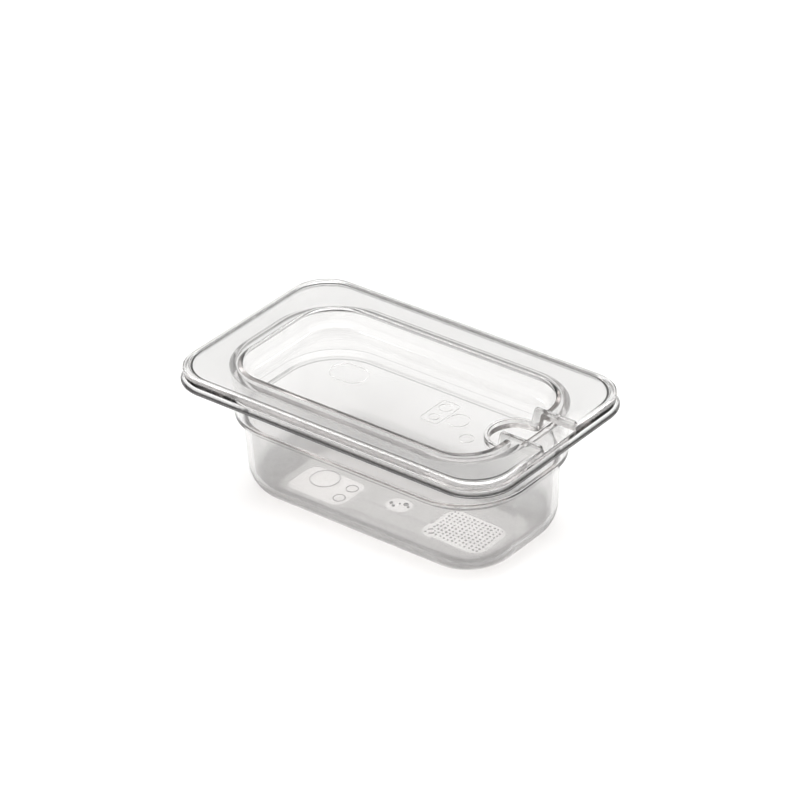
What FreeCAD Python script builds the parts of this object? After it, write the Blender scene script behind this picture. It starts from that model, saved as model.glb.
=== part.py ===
import FreeCAD, Part
import math
import os
import Sketcher

# A clear moulded food pan for a deli counter, with the notched lid that sits in its mouth.
# +X runs along the long side to the lid's notch, +Z is up, and the origin is under the middle of the base.

SIZES = {
    # the pan's rim: a flat top with a skirt that flares down and out
    "pan_length": 176.0,
    "pan_width": 108.0,
    "pan_height": 63.5,
    "rim_corner": 20.6,
    "rim_depth": 4.4,
    "rim_flare": 2.4,
    "rim_wall": 2.4,
    "skirt_wall": 1.9,
    "rim_round": 1.0,
    # the pan's tub: a steep collar, a stacking shoulder and a drafted body
    "wall": 2.4,
    "floor_wall": 2.6,
    "corner_inset": 43.5,
    "collar_inset": 12.7,
    "collar_draft": 0.4,
    "collar_height": 23.5,
    "shoulder_width": 3.5,
    "shoulder_drop": 1.6,
    "shoulder_rise": 1.5,
    "body_draft": 2.0,
    "base_round": 15.0,
    "mouth_round": 1.8,
    # the lid's flat border and the bead around its edge
    "lid_inset": 2.0,
    "lid_corner": 17.0,
    "lid_wall": 1.8,
    "bead_width": 2.0,
    "bead_corner": 17.6,
    "bead_height": 0.6,
    "bead_round": 0.5,
    # the lid's sunken middle, hanging in the pan's mouth with these gaps all round it
    "well_gap_end": 3.8,
    "well_gap_side": 2.2,
    "well_corner_ease": 8.2,
    "recess_depth": 7.9,
    "recess_draft": 1.6,
    "recess_round": 4.0,
    # the serving notch and the raised lip along its edge
    "notch_setback": 5.3,
    "notch_radius": 11.0,
    "lip_wall": 1.8,
    "lip_height": 2.4,
    "lip_lean": 2.0,
    "lip_bevel": 1.2,
}

doc = FreeCAD.newDocument("FoodPan")
sheet = doc.addObject("Spreadsheet::Sheet", "Sizes")
for row, (alias, value) in enumerate(SIZES.items(), start=1):
    sheet.set(f"A{row}", alias)
    sheet.set(f"B{row}", str(value))
    sheet.setAlias(f"B{row}", alias)
doc.recompute()


def measure(formula):
    """Number for a sum of named sizes, such as 'pan_length/2 - lid_inset'."""
    total = 0.0
    sign = 1.0
    for word in formula.split():
        if word in ("+", "-"):
            sign = 1.0 if word == "+" else -1.0
        else:
            name, _, share = word.partition("/")
            total += sign * SIZES[name] / float(share or 1)
            sign = 1.0
    return total


def less(formula, taken):
    """The first sum with the second taken from it."""
    words = taken.split()
    if words and words[0] not in ("+", "-"):
        words.insert(0, "+")
    swapped = {"+": "-", "-": "+"}
    return " ".join([formula] + [swapped.get(word, word) for word in words])


def bound(formula):
    """The same sum as an expression that reads the spreadsheet."""
    words = [word if word in ("+", "-") else f"Sizes.{word}" for word in formula.split()]
    return " ".join(words) if words else "0"


def new_body(label):
    body = doc.addObject("PartDesign::Body", label.capitalize())
    body.Label = label
    return body


def plane(body, role):
    return next(item for item in body.Origin.OriginFeatures if item.Role == role)


def new_sketch(body, name, height="", role="XY_Plane"):
    sketch = body.newObject("Sketcher::SketchObject", name)
    sketch.AttachmentSupport = [(plane(body, role), "")]
    sketch.MapMode = "FlatFace"
    if height:
        sketch.setExpression(".AttachmentOffset.Base.z", bound(height))
    return sketch


def drive(sketch, constraint, name, expression):
    index = sketch.addConstraint(constraint)
    sketch.renameConstraint(index, name)
    sketch.setExpression(f"Constraints.{name}", expression)


def add_round_rectangle(sketch, end_inset, side_inset, radius, tag=""):
    """Rounded rectangle about the origin, its ends and sides set in from the edge of the pan."""
    half_x = measure(less("pan_length/2", end_inset))
    half_y = measure(less("pan_width/2", side_inset))
    round_size = measure(radius)
    reach_x = half_x - round_size
    reach_y = half_y - round_size
    first = sketch.GeometryCount
    corners = ((1, -1, 270), (1, 1, 0), (-1, 1, 90), (-1, -1, 180))
    ends = (
        ((-reach_x, -half_y), (reach_x, -half_y)),
        ((half_x, -reach_y), (half_x, reach_y)),
        ((reach_x, half_y), (-reach_x, half_y)),
        ((-half_x, reach_y), (-half_x, -reach_y)),
    )
    for (start, end), (side_x, side_y, turn) in zip(ends, corners):
        line = Part.LineSegment(FreeCAD.Vector(*start, 0), FreeCAD.Vector(*end, 0))
        sketch.addGeometry(line, False)
        centre = FreeCAD.Vector(side_x * reach_x, side_y * reach_y, 0)
        circle = Part.Circle(centre, FreeCAD.Vector(0, 0, 1), round_size)
        sketch.addGeometry(Part.ArcOfCircle(circle, math.radians(turn), math.radians(turn + 90)), False)
    for step in range(8):
        here = first + step
        after = first + (step + 1) % 8
        sketch.addConstraint(Sketcher.Constraint("Tangent", here, 2, after, 1))
    for step in (3, 5, 7):
        sketch.addConstraint(Sketcher.Constraint("Equal", first + 1, first + step))
    sketch.addConstraint(Sketcher.Constraint("Horizontal", first))
    sketch.addConstraint(Sketcher.Constraint("Vertical", first + 2))
    sketch.addConstraint(Sketcher.Constraint("Symmetric", first, 1, first + 4, 1, -1, 1))
    drive(sketch, Sketcher.Constraint("Radius", first + 1, round_size), f"corner{tag}", bound(radius))
    along = f"Sizes.pan_length - 2 * ({bound(end_inset)} + {bound(radius)})"
    drive(sketch, Sketcher.Constraint("DistanceX", first, 1, first, 2, 2 * reach_x), f"along{tag}", along)
    across = f"Sizes.pan_width - 2 * ({bound(side_inset)} + {bound(radius)})"
    drive(sketch, Sketcher.Constraint("DistanceY", first + 2, 1, first + 2, 2, 2 * reach_y),
          f"across{tag}", across)


def add_polygon(sketch, places):
    """Closed polygon through places given as pairs of formulas, measured from the origin."""
    spots = [(measure(across), measure(up)) for across, up in places]
    for start, end in zip(spots, spots[1:] + spots[:1]):
        sketch.addGeometry(Part.LineSegment(FreeCAD.Vector(*start, 0), FreeCAD.Vector(*end, 0)), False)
    for index, (across, up) in enumerate(places):
        after = (index + 1) % len(places)
        sketch.addConstraint(Sketcher.Constraint("Coincident", index, 2, after, 1))
        here = spots[index]
        drive(sketch, Sketcher.Constraint("DistanceX", -1, 1, index, 1, here[0]), f"x_{index}", bound(across))
        drive(sketch, Sketcher.Constraint("DistanceY", -1, 1, index, 1, here[1]), f"z_{index}", bound(up))


def outline(body, name, insets, radius, height):
    """A sketch of one rounded rectangle lying flat at a height, its insets for ends and sides."""
    sketch = new_sketch(body, name, height)
    add_round_rectangle(sketch, *insets, radius)
    return sketch


def even(inset):
    """The same inset at the ends and along the sides."""
    return inset, inset


def loft(body, kind, name, sections):
    """Straight-sided block or hollow between outlines, listed from the top down."""
    feature = body.newObject(f"PartDesign::{kind}Loft", name)
    feature.Profile = sections[0]
    feature.Sections = sections[1:]
    feature.Ruled = True
    doc.recompute()
    return feature


def pad(body, name, sketch, length):
    feature = body.newObject("PartDesign::Pad", name)
    feature.Profile = sketch
    feature.setExpression("Length", length)
    doc.recompute()
    return feature


def level_edges(feature, height, least=0.0, most=math.inf):
    """Names of the edges lying flat at a height whose loop reaches out along X between the two limits."""
    names = []
    for index, edge in enumerate(feature.Shape.Edges, start=1):
        box = edge.BoundBox
        flat = max(abs(box.ZMin - height), abs(box.ZMax - height)) < 0.01
        reach = max(abs(box.XMin), abs(box.XMax))
        if flat and least < reach < most:
            names.append(f"Edge{index}")
    return names


def fillet(body, name, edges, radius):
    base = body.Tip
    feature = body.newObject("PartDesign::Fillet", name)
    feature.Base = (base, edges)
    feature.setExpression("Radius", radius)
    doc.recompute()
    return feature


# Pan: one moulding. The rim is a shallow block hollowed from below, so its edge hangs as a skirt.
pan = new_body("pan")
loft(pan, "Additive", "RimBlock", [
    outline(pan, "RimTop", even("rim_flare"), "rim_corner - rim_flare", "pan_height"),
    outline(pan, "RimFoot", even(""), "rim_corner", "pan_height - rim_depth"),
])
fillet(pan, "RimRound", level_edges(pan.Tip, measure("pan_height")), bound("rim_round"))
loft(pan, "Subtractive", "RimHollow", [
    outline(pan, "HollowTop", even("skirt_wall + rim_round"), "rim_corner - skirt_wall - rim_round",
            "pan_height - rim_wall"),
    outline(pan, "HollowFoot", even("skirt_wall"), "rim_corner - skirt_wall", "pan_height - rim_depth"),
])

# The tub runs down from the rim: collar, stacking shoulder, then the drafted body with a rounded foot.
COLLAR_FOOT = "pan_height - collar_height"
COLLAR_FOOT_INSET = "collar_inset + collar_draft"
SHOULDER_INSET = COLLAR_FOOT_INSET + " + shoulder_width"
BASE_INSET = SHOULDER_INSET + " + body_draft"


def tub_outline(name, inset, height):
    """A level outline of the tub: its corner radius shrinks as it goes in, so the wall stays even."""
    return outline(pan, name, even(inset), less("corner_inset", inset), height)


loft(pan, "Additive", "Tub", [
    tub_outline("CollarTop", "collar_inset", "pan_height - rim_wall"),
    tub_outline("CollarFoot", COLLAR_FOOT_INSET, COLLAR_FOOT),
    tub_outline("ShoulderFoot", SHOULDER_INSET, COLLAR_FOOT + " - shoulder_drop"),
    tub_outline("Base", BASE_INSET, ""),
])
loft(pan, "Subtractive", "Cavity", [
    tub_outline("Mouth", "collar_inset + wall", "pan_height"),
    tub_outline("InnerCollarFoot", COLLAR_FOOT_INSET + " + wall", COLLAR_FOOT + " + shoulder_rise"),
    tub_outline("InnerShoulderFoot", SHOULDER_INSET + " + wall",
                COLLAR_FOOT + " + shoulder_rise - shoulder_drop"),
    tub_outline("Floor", BASE_INSET + " + wall", "floor_wall"),
])
fillet(pan, "FloorRound", level_edges(pan.Tip, measure("floor_wall")), bound("base_round - wall"))
fillet(pan, "BaseRound", level_edges(pan.Tip, 0.0), bound("base_round"))
mouth_reach = measure("pan_length") / 2 - measure("collar_inset")
fillet(pan, "MouthRound", level_edges(pan.Tip, measure("pan_height"), most=mouth_reach), bound("mouth_round"))

# Lid: one moulding that lies on the rim, its sunken middle hanging in the pan's mouth.
lid = new_body("lid")
BORDER_TOP = "pan_height + lid_wall"
pad(lid, "Border", outline(lid, "BorderEdge", even("lid_inset"), "lid_corner", "pan_height"),
    bound("lid_wall"))
bead = new_sketch(lid, "BeadLoops", BORDER_TOP)
add_round_rectangle(bead, *even("lid_inset"), "lid_corner", "_outer")
add_round_rectangle(bead, *even("lid_inset + bead_width"), "bead_corner", "_inner")
pad(lid, "Bead", bead, bound("bead_height"))
bead_top = measure(BORDER_TOP + " + bead_height")
fillet(lid, "BeadRound", level_edges(lid.Tip, bead_top), bound("bead_round"))

# The well's outside takes its size from the mouth less the gaps; the recess is one wall inside it.
RECESS_FLOOR = BORDER_TOP + " - recess_depth"
WELL_END = "collar_inset + wall + well_gap_end"
WELL_SIDE = "collar_inset + wall + well_gap_side"
WELL_CORNER = "corner_inset - collar_inset - wall - well_corner_ease"


def well_outline(name, inward, height):
    """A level outline of the lid's middle, moved in from the outside of the well."""
    return outline(lid, name, (WELL_END + inward, WELL_SIDE + inward), less(WELL_CORNER, inward), height)


loft(lid, "Additive", "Well", [
    well_outline("WellTop", "", "pan_height"),
    well_outline("WellFoot", " + recess_draft", RECESS_FLOOR + " - lid_wall"),
])
well_floor = measure(RECESS_FLOOR + " - lid_wall")
fillet(lid, "WellRound", level_edges(lid.Tip, well_floor), bound("recess_round + lid_wall"))
loft(lid, "Subtractive", "Recess", [
    well_outline("RecessTop", " + lid_wall", BORDER_TOP),
    well_outline("RecessFloor", " + lid_wall + recess_draft", RECESS_FLOOR),
])
fillet(lid, "RecessRound", level_edges(lid.Tip, measure(RECESS_FLOOR)), bound("recess_round"))

# The raised lip follows the recess floor, its end wall and the border, out to the lid's edge.
RECESS_END = less("pan_length/2", WELL_END + " + lid_wall")
NOTCH_CENTRE = RECESS_END + " - notch_setback"
centre = measure(NOTCH_CENTRE)
lip_foot = new_sketch(lid, "LipRound", RECESS_FLOOR)
disc = Part.Circle(FreeCAD.Vector(centre, 0, 0), FreeCAD.Vector(0, 0, 1), measure("notch_radius + lip_wall"))
lip_foot.addGeometry(disc, False)
drive(lip_foot, Sketcher.Constraint("Radius", 0, disc.Radius), "radius", bound("notch_radius + lip_wall"))
lip_foot.addConstraint(Sketcher.Constraint("PointOnObject", 0, 3, -1))
drive(lip_foot, Sketcher.Constraint("DistanceX", -1, 1, 0, 3, centre), "reach", bound(NOTCH_CENTRE))
pad(lid, "LipRoundPad", lip_foot, bound("lip_height"))

LIP_TOP = BORDER_TOP + " + lip_height"
LIP_END = "pan_length/2 - lid_inset - bead_round"
LIP_SHOULDER = NOTCH_CENTRE + " + lip_lean"
lip_side = new_sketch(lid, "LipSide", role="XZ_Plane")
add_polygon(lip_side, [
    (NOTCH_CENTRE, RECESS_FLOOR),
    (NOTCH_CENTRE, RECESS_FLOOR + " + lip_height"),
    (LIP_SHOULDER, LIP_TOP + " - lip_bevel"),
    (LIP_SHOULDER + " + lip_bevel", LIP_TOP),
    (LIP_END + " - lip_bevel", LIP_TOP),
    (LIP_END, LIP_TOP + " - lip_bevel"),
    (LIP_END, "pan_height"),
    (RECESS_END + " + lid_wall", "pan_height"),
    (RECESS_END + " - recess_draft", RECESS_FLOOR),
])
lip_pad = pad(lid, "Lip", lip_side, "2 * (" + bound("notch_radius + lip_wall") + ")")
lip_pad.SideType = "Symmetric"
doc.recompute()

# The notch is cut last, through floor, wall, border and lip together, with a round inner end.
notch = new_sketch(lid, "NotchOutline", LIP_TOP)
radius = measure("notch_radius")
beyond = measure("pan_length/2 + lip_wall")
circle = Part.Circle(FreeCAD.Vector(centre, 0, 0), FreeCAD.Vector(0, 0, 1), radius)
notch.addGeometry(Part.ArcOfCircle(circle, math.radians(90), math.radians(270)), False)
walk = [(centre, -radius), (beyond, -radius), (beyond, radius), (centre, radius)]
for start, end in zip(walk, walk[1:]):
    notch.addGeometry(Part.LineSegment(FreeCAD.Vector(*start, 0), FreeCAD.Vector(*end, 0)), False)
notch.addConstraint(Sketcher.Constraint("Tangent", 0, 2, 1, 1))
notch.addConstraint(Sketcher.Constraint("Coincident", 1, 2, 2, 1))
notch.addConstraint(Sketcher.Constraint("Coincident", 2, 2, 3, 1))
notch.addConstraint(Sketcher.Constraint("Tangent", 3, 2, 0, 1))
notch.addConstraint(Sketcher.Constraint("Horizontal", 1))
notch.addConstraint(Sketcher.Constraint("Vertical", 2))
notch.addConstraint(Sketcher.Constraint("PointOnObject", 0, 3, -1))
drive(notch, Sketcher.Constraint("Radius", 0, radius), "radius", bound("notch_radius"))
drive(notch, Sketcher.Constraint("DistanceX", -1, 1, 0, 3, centre), "reach", bound(NOTCH_CENTRE))
drive(notch, Sketcher.Constraint("DistanceX", -1, 1, 1, 2, beyond), "beyond", bound("pan_length/2 + lip_wall"))
uncut = lid.Tip.Shape.copy()
cut = lid.newObject("PartDesign::Pocket", "Notch")
cut.Profile = notch
cut.Reversed = False
cut.setExpression("Length", bound(LIP_TOP))
doc.recompute()

# The notch runs out through the border, so it takes at least the border's own strip and less than a
# quarter of the lid.
removed = uncut.Volume - lid.Tip.Shape.Volume
border_strip = 2 * radius * measure("lid_wall") * (measure("pan_length/2 - lid_inset") - measure(RECESS_END))
if not border_strip < removed < uncut.Volume / 4:
    raise RuntimeError(f"the notch took {removed:.0f} cubic mm out of the lid")

os.makedirs("parts", exist_ok=True)
for body in (pan, lid):
    for item in [body] + list(body.Group):
        if "Invalid" in item.State or "Error" in item.State:
            raise RuntimeError(f"{item.Name} did not build: {item.State}")
    if body.Shape.isNull() or not body.Shape.isValid() or len(body.Shape.Solids) != 1:
        raise RuntimeError(f"{body.Label} is not one valid solid")
    body.Shape.exportStep(f"parts/{body.Label}.step")
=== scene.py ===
import math
import random

import bmesh
import bpy
from mathutils import Matrix, Vector


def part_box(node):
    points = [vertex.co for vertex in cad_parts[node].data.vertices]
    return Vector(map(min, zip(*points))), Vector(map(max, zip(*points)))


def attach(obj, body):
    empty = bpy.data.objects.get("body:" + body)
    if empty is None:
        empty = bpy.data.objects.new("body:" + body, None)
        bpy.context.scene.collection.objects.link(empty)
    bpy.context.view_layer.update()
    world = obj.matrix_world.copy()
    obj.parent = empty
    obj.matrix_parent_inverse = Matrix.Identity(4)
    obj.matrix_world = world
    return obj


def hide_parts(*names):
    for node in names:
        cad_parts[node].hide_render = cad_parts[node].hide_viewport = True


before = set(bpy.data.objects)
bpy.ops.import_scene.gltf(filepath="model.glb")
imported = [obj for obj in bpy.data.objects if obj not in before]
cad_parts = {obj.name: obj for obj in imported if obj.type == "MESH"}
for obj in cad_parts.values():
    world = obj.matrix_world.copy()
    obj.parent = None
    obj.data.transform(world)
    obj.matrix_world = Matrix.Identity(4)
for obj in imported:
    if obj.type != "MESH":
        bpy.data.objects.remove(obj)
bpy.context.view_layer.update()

# ---------------------------------------------------------------------------------------------------
# The pan. One injection moulding in clear polycarbonate: rim with a turned-down skirt, steep collar,
# stacking shoulder and a drafted body on a rounded foot. Its section is drawn as points, each an inset
# from the rim's edge, a height and a corner rounding, and carried round a rounded rectangle.

MM = 0.001
CORNER_STEPS = 32
pan_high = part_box("pan")[1]
HALF_X = pan_high[0] / MM
HALF_Y = pan_high[1] / MM
PAN_TOP = pan_high[2] / MM
RIM_CORNER = 20.6
RIM_UNDERSIDE = PAN_TOP - 2.4
RIM_FOOT = PAN_TOP - 4.4
TUB_CORNER = 43.5
TUB_FLOOR = 2.6
SHOULDER = 40.0
MIDDLE = 34.0
# Heights that bound the painted dark lines along both edges of the shoulder and along the rim's foot.
LOWER_LINE = SHOULDER - 2.65
UPPER_LINE = SHOULDER + 0.72
RIM_LINE = PAN_TOP - 3.65


def soften(points, arc_step=7.0):
    """Rounds each inner corner of a section, and returns it as plain points."""
    path = [Vector(points[0][:2])]
    for before, here, after in zip(points, points[1:], points[2:]):
        corner = Vector(here[:2])
        to_before = (Vector(before[:2]) - corner).normalized()
        to_after = (Vector(after[:2]) - corner).normalized()
        opening = to_before.angle(to_after)
        middle = corner + (to_before + to_after).normalized() * here[2] / math.sin(opening / 2)
        first = corner + to_before * here[2] / math.tan(opening / 2) - middle
        turn = math.pi - opening
        if to_before.cross(to_after) > 0:
            turn = -turn
        steps = max(2, round(math.degrees(abs(turn)) / arc_step))
        for step in range(steps + 1):
            path.append(middle + Matrix.Rotation(turn * step / steps, 2) @ first)
    path.append(Vector(points[-1][:2]))
    return path


def round_rectangle(half_x, half_y, corner):
    """Points round a rounded rectangle."""
    spots = []
    for quarter, (side_x, side_y) in enumerate(((1, 1), (-1, 1), (-1, -1), (1, -1))):
        for step in range(CORNER_STEPS + 1):
            turn = math.pi / 2 * (quarter + step / CORNER_STEPS)
            spots.append((side_x * (half_x - corner) + corner * math.cos(turn),
                          side_y * (half_y - corner) + corner * math.sin(turn)))
    return spots


def stack(bm, levels, x=0.0, y=0.0):
    """Skins level rounded rectangles one on the next, each (half length, half width, corner radius,
    height) in mm, round the upright through x, y. Gives back their rings of points."""
    rings = []
    for half_x, half_y, corner, height in levels:
        spots = round_rectangle(half_x, half_y, corner)
        if rings:
            last = set(rings[-1])
            edges = {edge for vert in last for edge in vert.link_edges if edge.other_vert(vert) in last}
            pulled = bmesh.ops.extrude_edge_only(bm, edges=list(edges))["geom"]
            fresh = {item for item in pulled if isinstance(item, bmesh.types.BMVert)}
            rings.append([next(edge.other_vert(vert) for edge in vert.link_edges
                               if edge.other_vert(vert) in fresh) for vert in rings[-1]])
        else:
            rings.append(bmesh.ops.create_circle(bm, segments=len(spots), radius=1.0)["verts"])
        for vert, (east, north) in zip(rings[-1], spots):
            vert.co = (x + east, y + north, height)
    return rings


def close(bm, rings):
    """Closes both ends of a stack."""
    for ring in (set(rings[0]), set(rings[-1])):
        edges = {edge for vert in ring for edge in vert.link_edges if edge.other_vert(vert) in ring}
        bmesh.ops.contextual_create(bm, geom=list(edges))


def as_piece(bm, name):
    """Turns work in mm into a piece of the scene."""
    bmesh.ops.recalc_face_normals(bm, faces=bm.faces)
    bmesh.ops.scale(bm, verts=bm.verts, vec=(MM, MM, MM))
    mesh = bpy.data.meshes.new(name)
    bm.to_mesh(mesh)
    bm.free()
    mesh.shade_smooth()
    piece = bpy.data.objects.new(name, mesh)
    bpy.context.scene.collection.objects.link(piece)
    return piece


def moulding(name, runs):
    """A closed moulding through the loops of several runs: half length, half width, corner radius, how
    fast the corner shrinks with the inset, the points, and a function for how deep the painted shade and
    the grain are there. The painted shade is dark colour in the plastic that stands for the light a thick
    clear edge turns aside and for shade seen through the plastic."""
    bm = bmesh.new()
    painted_shade = bm.verts.layers.float.new("painted_shade")
    grain = bm.verts.layers.float.new("grain")
    levels = []
    looks = []
    for half_x, half_y, corner, grow, points, look in runs:
        for inset, height in points:
            levels.append((half_x - inset, half_y - inset, corner - grow * inset, height))
            looks.append(look(inset, height))
    rings = stack(bm, levels)
    for ring, (shade_tone, grained) in zip(rings, looks):
        for vert in ring:
            vert[painted_shade] = shade_tone
            vert[grain] = grained
    close(bm, rings)
    return as_piece(bm, name)


def fade(value, low, high):
    """0 below the low value, 1 above the high one, even between."""
    return min(max((value - low) / (high - low), 0.0), 1.0)


def outside_look(inset, height):
    """Painted shade on the outside of the tub: deep in the rounded foot, for the light its thick curve
    turns aside, a little lighter on the flat base, for the shade under the pan seen through it, clear up
    the walls, with a painted dark line along both edges of the shoulder."""
    if inset >= MIDDLE:
        return 0.50, 0.05
    if LOWER_LINE < height < SHOULDER - 2.0 or SHOULDER + 0.1 < height < UPPER_LINE:
        return 0.7, 0.0
    if height > SHOULDER:
        return 0.08, 0.0
    return 0.66 - 0.52 * fade(height, 7.0, 16.0), 0.04 * (1.0 - fade(height, 7.0, 16.0))


def rim_look(inset, height):
    """The rim, with a hard dark line painted along its foot, for the dark line that a thick clear edge
    shows there.
    """
    return 1.0 - 0.95 * fade(height, RIM_LINE - 0.02, RIM_LINE + 0.01), 0.0


def inside_look(inset, height):
    """Painted shade on the inside of the tub: lightest in the middle of the floor, deepest round the
    shoulder.
    """
    if inset >= MIDDLE:
        return 0.10, 0.0
    if SHOULDER - 0.6 < height < SHOULDER + 0.1:
        return 0.36, 0.0
    return 0.20 - 0.08 * fade(height, 8.0, 16.0), 0.0


def on_run(run, height):
    """A plain point of a straight run, where it reaches a height: one more place for a look to change."""
    (low_inset, low), (high_inset, high) = run
    return low_inset + (high_inset - low_inset) * (height - low) / (high - low), height, 0


# The straight runs that carry such a point, each from its lower end to its upper one.
outer_body = ((18.6, 0.0), (16.6, SHOULDER - 1.6))
outer_collar = ((13.1, SHOULDER), (12.7, RIM_UNDERSIDE))
inner_body = ((21.0, TUB_FLOOR), (19.0, SHOULDER - 0.1))
rim_edge = ((0.0, RIM_FOOT), (2.4, PAN_TOP))

outer_tub = soften([(MIDDLE, 0.0, 0), (*outer_body[0], 15.0), on_run(outer_body, LOWER_LINE - 0.05),
                    on_run(outer_body, LOWER_LINE + 0.05), (*outer_body[1], 1.2), (*outer_collar[0], 0.8),
                    on_run(outer_collar, UPPER_LINE + 0.03), (*outer_collar[1], 0.9),
                    (9.0, RIM_UNDERSIDE, 0)])
skirt = soften([(6.0, RIM_UNDERSIDE, 0), (2.9, RIM_UNDERSIDE, 0.7), (1.9, RIM_FOOT, 1.05),
                (*rim_edge[0], 0.45), on_run(rim_edge, RIM_LINE - 0.03), on_run(rim_edge, RIM_LINE + 0.02),
                (*rim_edge[1], 1.0), (6.0, PAN_TOP, 0)])
inner_tub = soften([(10.5, PAN_TOP, 0), (15.1, PAN_TOP, 0.6), (15.5, SHOULDER + 1.5, 0.8),
                    (*inner_body[1], 1.2), on_run(inner_body, SHOULDER - 1.4), (*inner_body[0], 12.6),
                    (MIDDLE, TUB_FLOOR, 0)])
pan = moulding("pan_moulding", [
    (HALF_X, HALF_Y, TUB_CORNER, 1.0, outer_tub, outside_look),
    (HALF_X, HALF_Y, RIM_CORNER, 1.0, skirt, rim_look),
    (HALF_X, HALF_Y, TUB_CORNER, 1.0, inner_tub, inside_look),
])


def frame_cutter(bm, x, y, half_x, half_y, corner, width, low, high):
    """An upright rounded frame in mm, for sinking an outline."""
    inner = (half_x, half_y, corner)
    outer = (half_x + width, half_y + width, corner + width)
    rings = stack(bm, [(*inner, low), (*inner, high), (*outer, high), (*outer, low), (*inner, low)], x, y)
    bmesh.ops.remove_doubles(bm, verts=rings[0] + rings[-1], dist=0.0001)


def ring_cutter(bm, x, y, radius, width, low, high):
    """An upright ring in mm, for sinking a circle."""
    frame_cutter(bm, x, y, radius, radius, radius - 0.01, width, low, high)


def plate_cutter(bm, x, y, half_x, half_y, corner, low, high):
    """An upright rounded plate in mm, for sinking a panel."""
    close(bm, stack(bm, [(half_x, half_y, corner, low), (half_x, half_y, corner, high)], x, y))


def dot_cutter(bm, x, y, radius, low, high):
    """A small upright dimple in mm, narrower at its top."""
    verts = bmesh.ops.create_cone(bm, cap_ends=True, segments=10, radius1=radius, radius2=0.8 * radius,
                                  depth=high - low)["verts"]
    bmesh.ops.translate(bm, verts=verts, vec=(x, y, (low + high) / 2))


def finish_mesh(piece):
    """Replaces a piece's mesh by what its modifiers make of it."""
    shown = piece.evaluated_get(bpy.context.evaluated_depsgraph_get())
    mesh = bpy.data.meshes.new_from_object(shown)
    piece.modifiers.clear()
    piece.data = mesh


def combine(piece, tool, operation):
    """Works one block into a piece and throws the block away."""
    step = piece.modifiers.new(operation.lower(), "BOOLEAN")
    step.operation = operation
    step.solver = "EXACT"
    step.object = tool
    finish_mesh(piece)
    bpy.data.objects.remove(tool)


def even_shading(piece):
    """Keeps cut edges crisp and flat faces flat."""
    piece.data.set_sharp_from_angle(angle=math.radians(34))
    evened = piece.modifiers.new("evened_shading", "WEIGHTED_NORMAL")
    evened.weight = 100
    evened.keep_sharp = True
    finish_mesh(piece)


def set_look(piece, low, high, painted_shade, grain):
    """Gives everything between two heights in mm one painted shade and one grain, after cuts have made new
    points there.
    """
    for index, vert in enumerate(piece.data.vertices):
        if low <= vert.co.z / MM <= high:
            piece.data.attributes["painted_shade"].data[index].value = painted_shade
            piece.data.attributes["grain"].data[index].value = grain


# What the mould leaves on the underside of the base: two sunk matte panels, one with plain rings and one
# stippled, and a matte patch with rough dimples in the middle, where the plastic was fed in.
BELOW = -1.0
PANEL_DEPTH = 0.15
MARK_DEPTH = 0.4
WIDE_RING_DEPTH = 0.45
DIMPLE_DEPTH = 1.1
panels = bmesh.new()
plate_cutter(panels, -36.5, -6.5, 15.5, 10.5, 5.0, BELOW, PANEL_DEPTH)
plate_cutter(panels, 35.0, -1.0, 16.5, 12.0, 6.5, BELOW, PANEL_DEPTH)
plate_cutter(panels, -0.8, -0.4, 6.2, 5.2, 5.19, BELOW, PANEL_DEPTH)
combine(pan, as_piece(panels, "base_panels"), "DIFFERENCE")
stamps = bmesh.new()
ring_cutter(stamps, -40.5, -2.5, 6.3, 0.7, BELOW, WIDE_RING_DEPTH)
ring_cutter(stamps, -25.6, -2.0, 2.4, 0.5, BELOW, MARK_DEPTH)
ring_cutter(stamps, -25.6, -11.0, 2.4, 0.5, BELOW, MARK_DEPTH)
for x, y, radius in ((-4.6, -1.0, 1.0), (-2.4, -2.4, 0.9), (1.6, 1.5, 1.4), (3.7, 0.3, 0.7),
                     (-0.9, 0.3, 0.6)):
    dot_cutter(stamps, x, y, radius, BELOW, DIMPLE_DEPTH)
scatter = random.Random(5)
STRAY = 0.25
for row in range(10):
    for column in range(13):
        x = 21.4 + 2.25 * column + scatter.uniform(-STRAY, STRAY)
        y = -10.4 + 2.1 * row + scatter.uniform(-STRAY, STRAY)
        dot_cutter(stamps, x, y, scatter.uniform(0.5, 0.75), BELOW, MARK_DEPTH)
combine(pan, as_piece(stamps, "base_stamps"), "DIFFERENCE")
# Painted shade by depth on the base: on the flat base for the shade under the pan seen through it, lighter
# on the panels, dark on the rings and dimples for the light their edges turn aside; each with its grain.
for depth, painted_shade, grain in ((0.0, 0.50, 0.05), (PANEL_DEPTH, 0.28, 0.2), (MARK_DEPTH, 0.8, 0.1),
                            (WIDE_RING_DEPTH, 0.6, 0.1), (DIMPLE_DEPTH, 0.9, 0.05)):
    set_look(pan, depth - 0.01, depth + 0.01, painted_shade, grain)
even_shading(pan)


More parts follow.
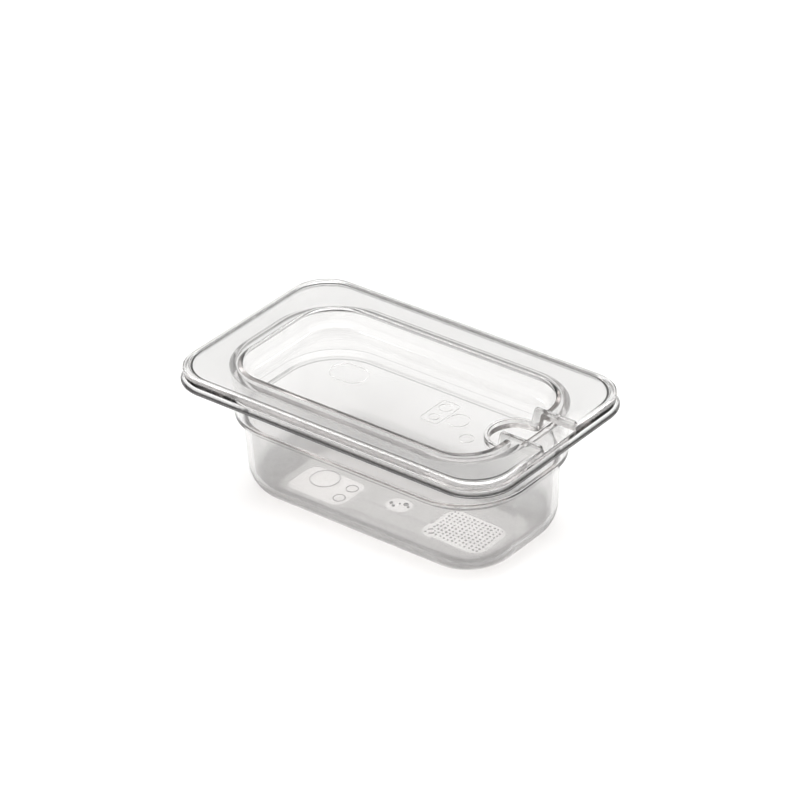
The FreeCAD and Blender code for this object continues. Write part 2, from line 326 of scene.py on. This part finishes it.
def moulded_surface():
    """Shared surface of a moulding: slow waves from the mould, fine grain, and washing-up scratches."""
    group = bpy.data.node_groups.new("moulded_surface", "ShaderNodeTree")
    group.interface.new_socket("Polish", in_out="INPUT", socket_type="NodeSocketFloat")
    group.interface.new_socket("Roughness", in_out="OUTPUT", socket_type="NodeSocketFloat")
    group.interface.new_socket("Normal", in_out="OUTPUT", socket_type="NodeSocketVector")
    nodes = group.nodes
    links = group.links
    given = nodes.new("NodeGroupInput")
    result = nodes.new("NodeGroupOutput")
    spot = nodes.new("ShaderNodeTexCoord")

    def noise(scale, detail, stretch):
        """Noise over the piece, finer along an axis that is stretched more."""
        placed = nodes.new("ShaderNodeMapping")
        placed.inputs["Scale"].default_value = stretch
        placed.inputs["Rotation"].default_value = (0.0, 0.0, 0.5 * stretch[0])
        pattern = nodes.new("ShaderNodeTexNoise")
        pattern.inputs["Scale"].default_value = scale
        pattern.inputs["Detail"].default_value = detail
        links.new(spot.outputs["Object"], placed.inputs["Vector"])
        links.new(placed.outputs["Vector"], pattern.inputs["Vector"])
        return pattern.outputs["Fac"]

    def spread(value, low, high, floor, top):
        """A value between low and high, moved to between floor and top."""
        ranged = nodes.new("ShaderNodeMapRange")
        for socket, number in zip(("From Min", "From Max", "To Min", "To Max"), (low, high, floor, top)):
            ranged.inputs[socket].default_value = number
        links.new(value, ranged.inputs["Value"])
        return ranged.outputs["Result"]

    def total(first, second):
        """The sum of two values."""
        added = nodes.new("ShaderNodeMath")
        links.new(first, added.inputs[0])
        links.new(second, added.inputs[1])
        return added.outputs["Value"]

    waves = noise(38.0, 2.0, (1.0, 1.0, 1.0))
    grain = noise(1400.0, 2.0, (1.0, 1.0, 1.0))
    scratches = spread(noise(90.0, 3.0, (1.0, 14.0, 1.0)), 0.66, 0.74, 0.0, 0.03)
    cross = spread(noise(80.0, 3.0, (16.0, 1.2, 1.0)), 0.67, 0.75, 0.0, 0.03)
    worn = total(total(scratches, cross), spread(waves, 0.3, 0.7, 0.0, 0.008))
    links.new(total(given.outputs["Polish"], worn), result.inputs["Roughness"])
    height = total(spread(waves, 0.2, 0.8, 0.0, 1.0), spread(grain, 0.2, 0.8, 0.0, 0.012))
    bump = nodes.new("ShaderNodeBump")
    bump.inputs["Strength"].default_value = 0.35
    bump.inputs["Distance"].default_value = 0.00006
    links.new(height, bump.inputs["Height"])
    links.new(bump.outputs["Normal"], result.inputs["Normal"])
    return group


surface = moulded_surface()


def clear_plastic(name, clear, shade_tone, polish):
    """A moulded clear plastic: bends light, is darkened by colour where its painted shade is deep, and
    lets lamps through.
    """
    material = bpy.data.materials.new(name)
    material.use_nodes = True
    nodes = material.node_tree.nodes
    links = material.node_tree.links
    nodes.clear()
    output = nodes.new("ShaderNodeOutputMaterial")
    plastic = nodes.new("ShaderNodeBsdfPrincipled")
    plastic.inputs["IOR"].default_value = 1.585
    plastic.inputs["Transmission Weight"].default_value = 1.0
    painted_shade = nodes.new("ShaderNodeAttribute")
    painted_shade.attribute_name = "painted_shade"
    colour = nodes.new("ShaderNodeMix")
    colour.data_type = "RGBA"
    colour.inputs["A"].default_value = (*clear, 1.0)
    colour.inputs["B"].default_value = (*shade_tone, 1.0)
    links.new(painted_shade.outputs["Fac"], colour.inputs["Factor"])
    links.new(colour.outputs["Result"], plastic.inputs["Base Color"])
    grain = nodes.new("ShaderNodeAttribute")
    grain.attribute_name = "grain"
    dulled = nodes.new("ShaderNodeMath")
    dulled.inputs[1].default_value = polish
    links.new(grain.outputs["Fac"], dulled.inputs[0])
    skin = nodes.new("ShaderNodeGroup")
    skin.node_tree = surface
    links.new(dulled.outputs["Value"], skin.inputs["Polish"])
    links.new(skin.outputs["Roughness"], plastic.inputs["Roughness"])
    links.new(skin.outputs["Normal"], plastic.inputs["Normal"])
    through = nodes.new("ShaderNodeBsdfTransparent")
    through.inputs["Color"].default_value = (0.965, 0.96, 0.957, 1.0)
    ray = nodes.new("ShaderNodeLightPath")
    mix = nodes.new("ShaderNodeMixShader")
    links.new(ray.outputs["Is Shadow Ray"], mix.inputs["Fac"])
    links.new(plastic.outputs["BSDF"], mix.inputs[1])
    links.new(through.outputs["BSDF"], mix.inputs[2])
    links.new(mix.outputs["Shader"], output.inputs["Surface"])
    body = nodes.new("ShaderNodeVolumeAbsorption")
    body.inputs["Color"].default_value = (0.82, 0.79, 0.78, 1.0)
    body.inputs["Density"].default_value = 20.0
    links.new(body.outputs["Volume"], output.inputs["Volume"])
    return material


# The dark colour that the painted shade mixes into the plastic's colour.
PAINTED_SHADE_COLOUR = (0.003, 0.0028, 0.0027)
POLISH = 0.004
pan.data.materials.append(clear_plastic("pan_polycarbonate", (0.985, 0.982, 0.98), PAINTED_SHADE_COLOUR, POLISH))

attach(pan, "pan")
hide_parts("pan")

# ---------------------------------------------------------------------------------------------------
# The lid. One thinner moulding in the same plastic: flat border with a bead round its edge, and a sunken
# middle that hangs in the pan's mouth. It lies loose on the rim, with no catch. The serving notch and its
# raised lip are worked into the finished shell.

RECESS_X = 67.3
RECESS_Y = 34.9
RECESS_CORNER = 18.4
RECESS_DRAFT = 1.6
GRAINED = 0.14
POLISHED = 0.03
LID_WALL = 1.8
UNDERSIDE = PAN_TOP + 0.06
BORDER = PAN_TOP + LID_WALL
BEAD = BORDER + 0.6
FLOOR = BORDER - 7.9
well = soften([(5.6, FLOOR - LID_WALL, 0), (RECESS_DRAFT - LID_WALL, FLOOR - LID_WALL, 5.8),
               (-LID_WALL, UNDERSIDE, 0.6), (-5.0, UNDERSIDE, 0)])
border = soften([(10.0, UNDERSIDE, 0), (2.0, UNDERSIDE, 0.3), (2.1, BEAD, 0.9), (3.8, BEAD, 0.45),
                 (4.2, BORDER, 0.3), (4.94, BORDER, 0), (5.0, BORDER, 0), (10.0, BORDER, 0)])
recess = soften([(-5.0, BORDER, 0), (0.0, BORDER, 1.0), (RECESS_DRAFT, FLOOR, 4.0), (5.8, FLOOR, 0)])


def border_look(inset, height):
    """The border: a light painted shade all over, a fine grain on its underside, near-polished on top, and
    a painted dark line inside the bead.
    """
    if height > BORDER - 0.1 and 4.3 < inset < 4.97:
        return 1.0, 0.0
    return 0.18, GRAINED if height < PAN_TOP + 0.5 else POLISHED


def middle_look(inset, height):
    """The sunken middle has no painted shade and no grain; where it reaches past its outline into the
    border, it takes the border's light painted shade and grain.
    """
    if inset < 0.0 and height > UNDERSIDE - 0.3:
        return 0.18, GRAINED if height < BORDER - 0.5 else POLISHED
    return 0.0, 0.0


# The border's corner opens out inwards, from 17 mm at the lid's edge to 17.6 mm inside the bead.
lid = moulding("lid_moulding", [
    (RECESS_X, RECESS_Y, RECESS_CORNER, 1.0, well, middle_look),
    (HALF_X, HALF_Y, 16.4, -0.3, border, border_look),
    (RECESS_X, RECESS_Y, RECESS_CORNER, 1.0, recess, middle_look),
])

# Plain moulded marks sunk in the recess floor: four rings, a rounded frame round two of them, and an oval.
MARK_FOOT = FLOOR - 0.2
MARK_ABOVE = FLOOR + 1.0
marks = bmesh.new()
for x, y, radius, width in ((34.4, -2.5, 4.6, 0.5), (23.6, 2.6, 2.8, 0.4), (24.0, -6.0, 2.2, 0.4),
                            (46.0, -12.0, 3.0, 0.4)):
    ring_cutter(marks, x, y, radius, width, MARK_FOOT, MARK_ABOVE)
frame_cutter(marks, 23.8, -1.6, 4.6, 8.6, 2.0, 0.4, MARK_FOOT, MARK_ABOVE)
frame_cutter(marks, -28.0, 1.0, 9.0, 6.4, 6.3, 0.4, MARK_FOOT, MARK_ABOVE)
combine(lid, as_piece(marks, "recess_marks"), "DIFFERENCE")

NOTCH_X = 62.0
NOTCH_RADIUS = 11.0
NOTCH_STEPS = 48
LIP_WALL = 1.8
LIP_RISE = 2.4
LIP_END = HALF_X - 2.5
LIP_FOOT_ROUND = 0.15
LIP_TOP_ROUND = 0.45


def straight_cutter(name, spots, depth):
    """An upright block: a closed outline of spots in mm, carried up and down from itself."""
    bm = bmesh.new()
    verts = [bmesh.ops.create_vert(bm, co=spot)["vert"][0] for spot in spots]
    face = bmesh.ops.contextual_create(bm, geom=verts)["faces"][0]
    bmesh.ops.translate(bm, verts=verts, vec=(0.0, 0.0, -depth))
    pulled = bmesh.ops.extrude_face_region(bm, geom=[face])["geom"]
    raised = [item for item in pulled if isinstance(item, bmesh.types.BMVert)]
    bmesh.ops.translate(bm, verts=raised, vec=(0.0, 0.0, 2 * depth))
    return as_piece(bm, name)


def height_at(line, x):
    """Height at x of a line of (x, z) spots, level beyond its ends."""
    for (x0, z0), (x1, z1) in zip(line, line[1:]):
        if x0 <= x <= x1 and x1 > x0:
            return z0 + (z1 - z0) * (x - x0) / (x1 - x0)
    return line[0][1] if x < line[0][0] else line[-1][1]


LIP_LOW = FLOOR + LIP_RISE
LIP_HIGH = BORDER + LIP_RISE
crest = soften([(NOTCH_X - 4.0, LIP_LOW, 0), (NOTCH_X + 0.4, LIP_LOW, 0.9), (NOTCH_X + 2.6, LIP_HIGH, 1.2),
                (LIP_END, LIP_HIGH, 1.2), (LIP_END + 0.01, BORDER, 0)])
under = [(RECESS_X - inset, height) for inset, height in well]

# Where the lip's section is placed along the notch: close over the climb out of the recess, wider over the
# border, and at the crest's own points. Of two that nearly meet, the outer one is kept.
places = [x for x, z in crest if NOTCH_X < x < LIP_END - 0.01]
places += [NOTCH_X + 0.1 * step for step in range(1, 34)]
places += [NOTCH_X + 3.4 + 0.5 * step for step in range(38)]
stations = []
for x in sorted(places, reverse=True):
    if not stations or stations[0] - x > 0.02:
        stations.insert(0, x)


def lip_ribbon():
    """The raised lip: an upright strip with rounded edges, run in along one side of the notch, round its
    inner end and out along the other side, its crest and foot following the lid."""
    path = [(x, -90.0) for x in reversed(stations)]
    path += [(NOTCH_X, -90.0 - 180.0 * step / NOTCH_STEPS) for step in range(NOTCH_STEPS + 1)]
    path += [(x, -270.0) for x in stations]
    bm = bmesh.new()
    loops = []
    for x, facing in path:
        foot = height_at(under, x) + 0.3
        top = height_at(crest, x)
        out = Vector((math.cos(math.radians(facing)), math.sin(math.radians(facing)), 0.0))
        edge = soften([(LIP_WALL / 2, foot, 0), (0.0, foot, LIP_FOOT_ROUND), (0.0, top, LIP_TOP_ROUND),
                       (LIP_WALL, top, LIP_TOP_ROUND), (LIP_WALL, foot, LIP_FOOT_ROUND),
                       (LIP_WALL / 2, foot, 0)], 18.0)[:-1]
        ring = bmesh.ops.create_circle(bm, segments=len(edge), radius=1.0)["verts"]
        for vert, (away, height) in zip(ring, edge):
            vert.co = Vector((x, 0.0, height)) + out * (NOTCH_RADIUS + away)
        loops.append(list({link for vert in ring for link in vert.link_edges}))
    for lower, upper in zip(loops, loops[1:]):
        bmesh.ops.bridge_loops(bm, edges=lower + upper)
    bmesh.ops.contextual_create(bm, geom=loops[0])
    bmesh.ops.contextual_create(bm, geom=loops[-1])
    return as_piece(bm, "lip")


def notch_outline(radius, end, height):
    """The notch seen from above: a round inner end and straight sides out to the end."""
    turns = [math.radians(90 + 180 * step / NOTCH_STEPS) for step in range(NOTCH_STEPS + 1)]
    arc = [(NOTCH_X + radius * math.cos(turn), radius * math.sin(turn), height) for turn in turns]
    return arc + [(end, -radius, height), (end, radius, height)]


notch = straight_cutter("notch", notch_outline(NOTCH_RADIUS + 0.03, HALF_X + 8.0, 62.0), 20.0)
combine(lid, notch, "DIFFERENCE")
combine(lid, lip_ribbon(), "UNION")
# The raised lip above the border is painted a mid shade, for the dark outline its thick clear edges show.
set_look(lid, BORDER + 0.8, LIP_HIGH + 0.1, 0.4, 0.0)
even_shading(lid)
lid.data.materials.append(clear_plastic("lid_polycarbonate", (0.985, 0.985, 0.982), PAINTED_SHADE_COLOUR, POLISH))

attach(lid, "lid")
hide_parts("lid")

# ---------------------------------------------------------------------------------------------------
# Floor, light and camera. A white sweep, a hair below the base because clear plastic that touches it
# would look dark, a broad lamp overhead, a narrow one behind the rim, and a long lens.

sweep = bmesh.new()
bmesh.ops.create_grid(sweep, x_segments=1, y_segments=1, size=4.0)
floor_mesh = bpy.data.meshes.new("floor")
sweep.to_mesh(floor_mesh)
sweep.free()
floor = bpy.data.objects.new("floor", floor_mesh)
floor.location = (0.0, 0.0, -0.0003)
bpy.context.scene.collection.objects.link(floor)
floor_paint = bpy.data.materials.new("white_sweep")
floor_paint.use_nodes = True
matt = floor_paint.node_tree.nodes["Principled BSDF"]
matt.inputs["Base Color"].default_value = (0.94, 0.94, 0.94, 1.0)
matt.inputs["Roughness"].default_value = 0.9
floor_mesh.materials.append(floor_paint)

# The room is dark near the floor and bright above for the plastic, and plain white behind it.
world = bpy.data.worlds.new("studio")
bpy.context.scene.world = world
world.use_nodes = True
sky = world.node_tree.nodes
wires = world.node_tree.links
room = sky["Background"]
facing = sky.new("ShaderNodeTexCoord")
split = sky.new("ShaderNodeSeparateXYZ")
walls = sky.new("ShaderNodeMapRange")
walls.interpolation_type = "SMOOTHSTEP"
for socket, number in (("From Min", 0.10), ("From Max", 0.55), ("To Min", 0.10), ("To Max", 0.95)):
    walls.inputs[socket].default_value = number
room.inputs["Color"].default_value = (1.0, 0.998, 0.99, 1.0)
backdrop = sky.new("ShaderNodeBackground")
backdrop.inputs["Color"].default_value = (1.0, 1.0, 1.0, 1.0)
seen = sky.new("ShaderNodeLightPath")
choice = sky.new("ShaderNodeMixShader")
wires.new(facing.outputs["Generated"], split.inputs["Vector"])
wires.new(split.outputs["Z"], walls.inputs["Value"])
wires.new(walls.outputs["Result"], room.inputs["Strength"])
wires.new(seen.outputs["Is Camera Ray"], choice.inputs["Fac"])
wires.new(room.outputs["Background"], choice.inputs[1])
wires.new(backdrop.outputs["Background"], choice.inputs[2])
wires.new(choice.outputs["Shader"], sky["World Output"].inputs["Surface"])


def lamp(name, place, aim, size, power):
    """A flat oblong lamp at a place, facing the spot it is aimed at."""
    light = bpy.data.lights.new(name, "AREA")
    light.shape = "RECTANGLE"
    light.size, light.size_y = size
    light.energy = power
    holder = bpy.data.objects.new(name, light)
    holder.location = place
    holder.rotation_euler = (Vector(aim) - Vector(place)).to_track_quat("-Z", "Y").to_euler()
    bpy.context.scene.collection.objects.link(holder)
    return holder


lamp("overhead", (0.0, 0.15, 1.5), (0.0, 0.0, 0.0), (1.5, 1.5), 12.8)
rim_light = lamp("rim_light", (-0.75, 0.85, 1.25), (0.0, 0.0, 0.05), (1.0, 0.12), 5.0)
rim_light.visible_diffuse = False
rim_light.visible_transmission = False

TURN = math.radians(39.64)
RISE = math.radians(31.53)
ROLL = math.radians(-2.22)
DISTANCE = 1.8825
AIM_SHIFT = 0.0122
back = Vector((math.sin(TURN) * math.cos(RISE), -math.cos(TURN) * math.cos(RISE), math.sin(RISE)))
level = Vector((math.cos(TURN), math.sin(TURN), 0.0))
right = math.cos(ROLL) * level + math.sin(ROLL) * back.cross(level)
middle = Vector((0.0, 0.0, 0.040))
aim = middle + back.cross(right) * AIM_SHIFT
place = middle + back * DISTANCE
towards = (place - aim).normalized()
camera_data = bpy.data.cameras.new("camera")
camera_data.lens = 197.4
camera_data.sensor_width = 36.0
camera = bpy.data.objects.new("camera", camera_data)
turned = Matrix((right, towards.cross(right), towards)).transposed()
camera.matrix_world = Matrix.Translation(place) @ turned.to_4x4()
bpy.context.scene.collection.objects.link(camera)
bpy.context.scene.camera = camera
bpy.context.scene.view_settings.view_transform = "Standard"
bpy.context.scene.view_settings.exposure = 0.0

# Light crosses four walls of clear plastic on its way, so it is followed further than usual.
bpy.context.scene.cycles.max_bounces = 32
bpy.context.scene.cycles.glossy_bounces = 24
bpy.context.scene.cycles.transmission_bounces = 32
bpy.context.scene.cycles.transparent_max_bounces = 24
